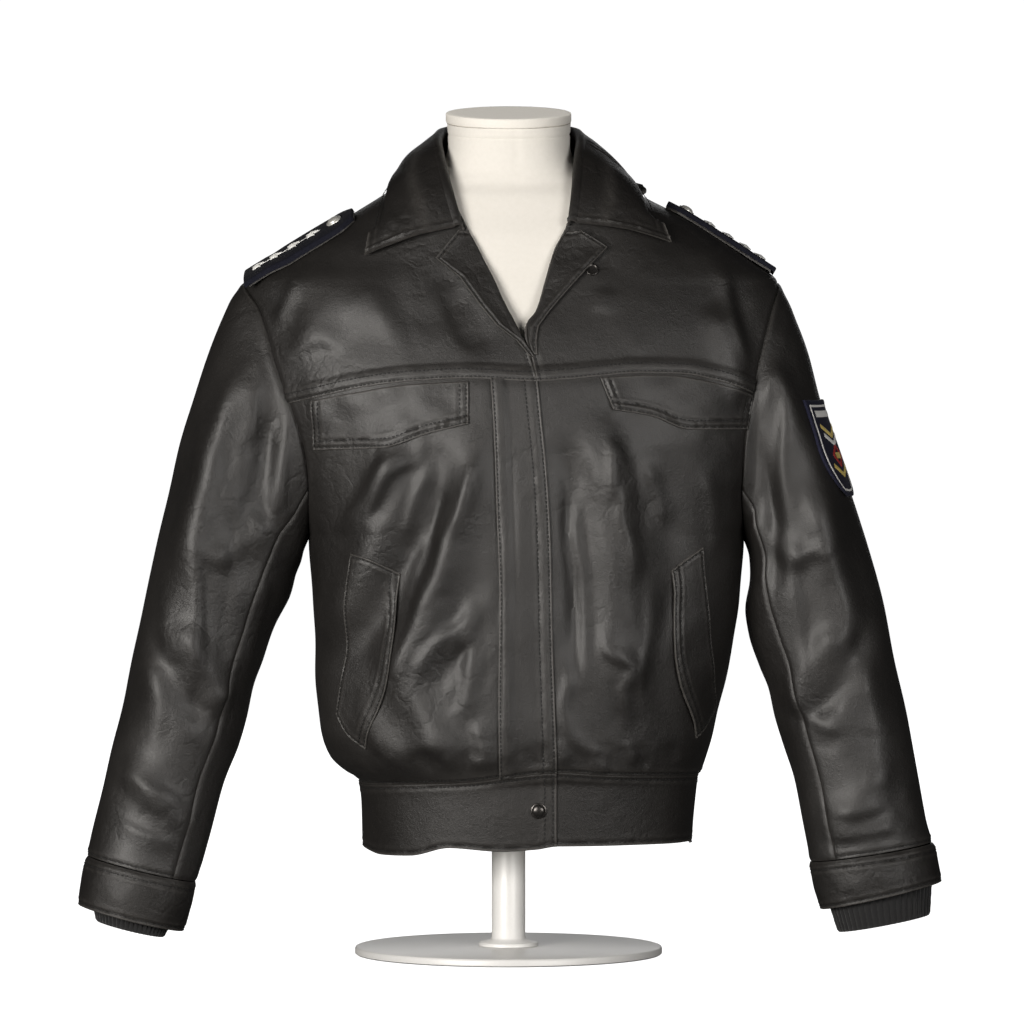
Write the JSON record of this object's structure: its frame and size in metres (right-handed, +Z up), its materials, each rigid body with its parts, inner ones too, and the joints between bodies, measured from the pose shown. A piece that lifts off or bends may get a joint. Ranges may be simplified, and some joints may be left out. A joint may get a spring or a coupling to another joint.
{
  "type": "leather jacket on dress form",
  "caption": "Waist-length leather blouson with a turned-down collar, pocket flaps, shoulder boards and knit cuffs, worn on a limbless dress form on a post and round base.",
  "frame": {"origin": "middle of the underside of the stand's round base plate", "axes": "+Z up, -Y the jacket's front, +X the wearer's left"},
  "size_m": [0.866, 0.31, 0.8552],
  "materials": {
    "black_leather": "semi-gloss grained",
    "black_knit": "ribbed knit",
    "navy_cloth": "matt woven",
    "patch_cloth": "matt woven",
    "form_cloth": "matt jersey",
    "silver_metal": "satin",
    "gunmetal": "dark satin",
    "stand_paint": "satin"
  },
  "bodies": {
    "root": {"front_right": "black_leather", "front_left": "black_leather", "fly_front": "black_leather", "yoke_front_right": "black_leather", "yoke_front_left": "black_leather", "yoke_back": "black_leather", "back_panel": "black_leather", "hem_front_right": "black_leather", "hem_front_left": "black_leather", "hem_back": "black_leather", "sleeve_top_right": "black_leather", "sleeve_under_right": "black_leather", "sleeve_top_left": "black_leather", "sleeve_under_left": "black_leather", "cuff_right": "black_leather", "cuff_left": "black_leather", "collar": "black_leather", "lapel_right": "black_leather", "lapel_left": "black_leather", "chest_flap_right": "black_leather", "chest_flap_left": "black_leather", "hand_flap_right": "black_leather", "hand_flap_left": "black_leather", "shoulder_strap_right": "black_leather", "shoulder_strap_left": "black_leather", "knit_cuff_right": "black_knit", "knit_cuff_left": "black_knit", "rank_board_right": "navy_cloth", "rank_board_left": "navy_cloth", "sleeve_patch": "patch_cloth", "strap_button_right": "silver_metal", "strap_button_left": "silver_metal", "press_stud": "gunmetal", "lapel_button": "gunmetal", "form_body": "form_cloth", "neck_plate": "form_cloth", "stand_post": "stand_paint", "stand_base": "stand_paint"}
  },
  "joints": []
}
